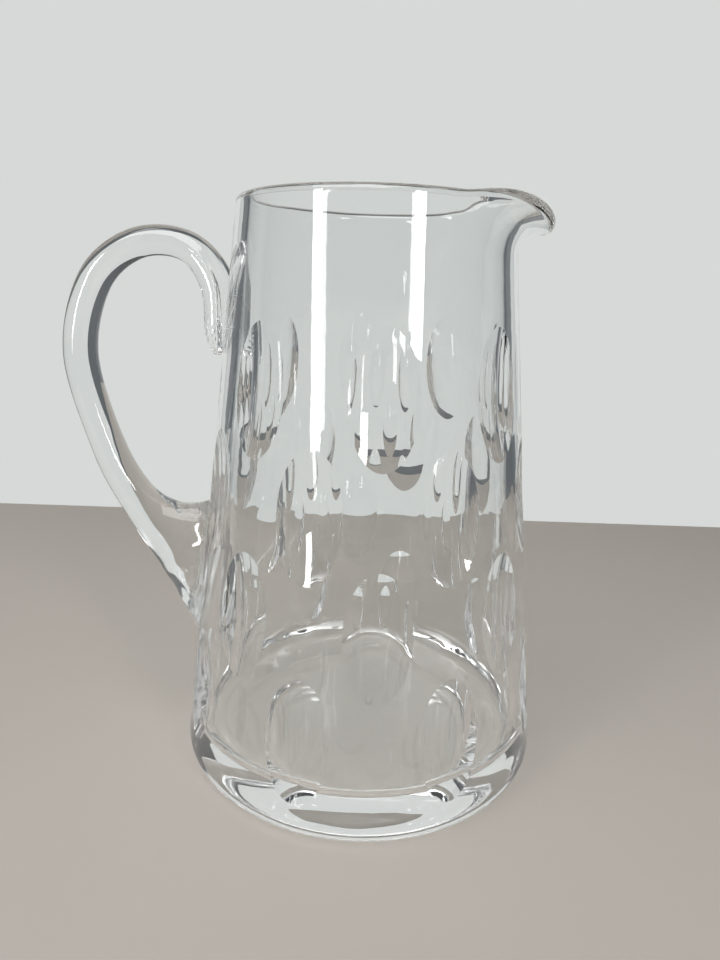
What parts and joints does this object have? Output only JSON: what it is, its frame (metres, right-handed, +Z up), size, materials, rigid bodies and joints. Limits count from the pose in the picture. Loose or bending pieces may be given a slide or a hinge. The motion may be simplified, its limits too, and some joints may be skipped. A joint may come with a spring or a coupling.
{
  "type": "cocktail pitcher",
  "caption": "Clear cut-glass pitcher with a tapered wheel-cut bowl, a thick base, a small drawn pouring lip and an applied loop handle.",
  "frame": {"origin": "centre of the foot, on the surface that the pitcher stands on", "axes": "+Z up along the bowl's axis, +X towards the pouring lip, handle along -X"},
  "size_m": [0.1754, 0.1334, 0.2015],
  "materials": {
    "bowl_crystal": "clear colourless crystal, blown, wheel cut and polished",
    "handle_crystal": "clear colourless crystal, drawn by hand and fire polished"
  },
  "bodies": {
    "root": {"pitcher_body": "bowl_crystal", "handle": "handle_crystal"}
  },
  "joints": []
}
